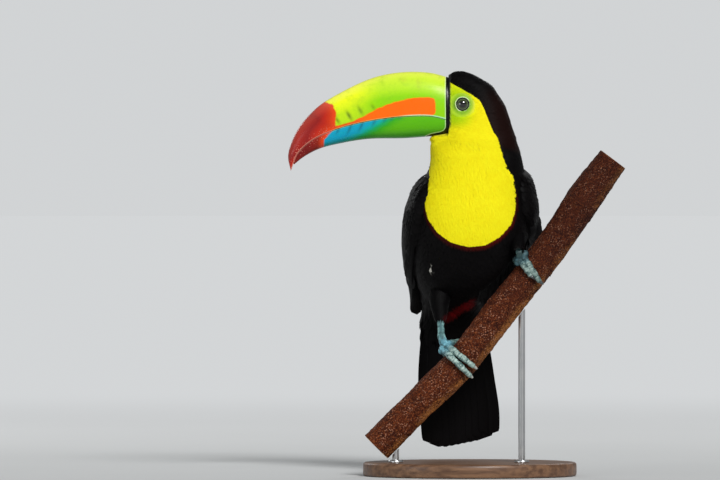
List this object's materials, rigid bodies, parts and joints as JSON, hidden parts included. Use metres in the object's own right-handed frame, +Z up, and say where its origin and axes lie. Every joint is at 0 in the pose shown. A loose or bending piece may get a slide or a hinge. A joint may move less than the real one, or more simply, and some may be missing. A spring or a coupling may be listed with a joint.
{
  "type": "keel-billed toucan model",
  "caption": "Life-size still model of a keel-billed toucan gripping a cut length of slanting branch, held on a flat oval base by slim rods, for display.",
  "frame": {"origin": "centre of the underside of the stand's base", "axes": "+Z up; the bird's chest faces -Y; its head is turned to its right so that the bill points to -X; the bird's left side is at +X"},
  "size_m": [0.2989, 0.15, 0.3593],
  "materials": {
    "face_plumage": "fine silky yellow feathers with a black cap",
    "bib_plumage": "fine silky bright yellow feathers",
    "black_plumage": "soft black feathers with a faint sheen",
    "foot_skin": "scaly turquoise-blue skin, dark claws",
    "bill_horn": "satin horn, green, orange, blue and red",
    "eye": "wet dark eye",
    "bark": "rough red-brown speckled bark",
    "base_wood": "satin lacquered wood",
    "rod_steel": "brushed"
  },
  "bodies": {
    "root": {"head": "face_plumage", "neck": "bib_plumage", "trunk": "black_plumage", "wing_left": "black_plumage", "wing_right": "black_plumage", "tail": "black_plumage", "thigh_left": "black_plumage", "thigh_right": "black_plumage", "shank_left": "foot_skin", "shank_right": "foot_skin", "foot_left": "foot_skin", "foot_right": "foot_skin", "bill_upper": "bill_horn", "bill_lower": "bill_horn", "eye_left": "eye", "eye_right": "eye", "perch_branch": "bark", "stand_base": "base_wood", "stand_rod_short": "rod_steel", "stand_rod_long": "rod_steel"}
  },
  "joints": []
}
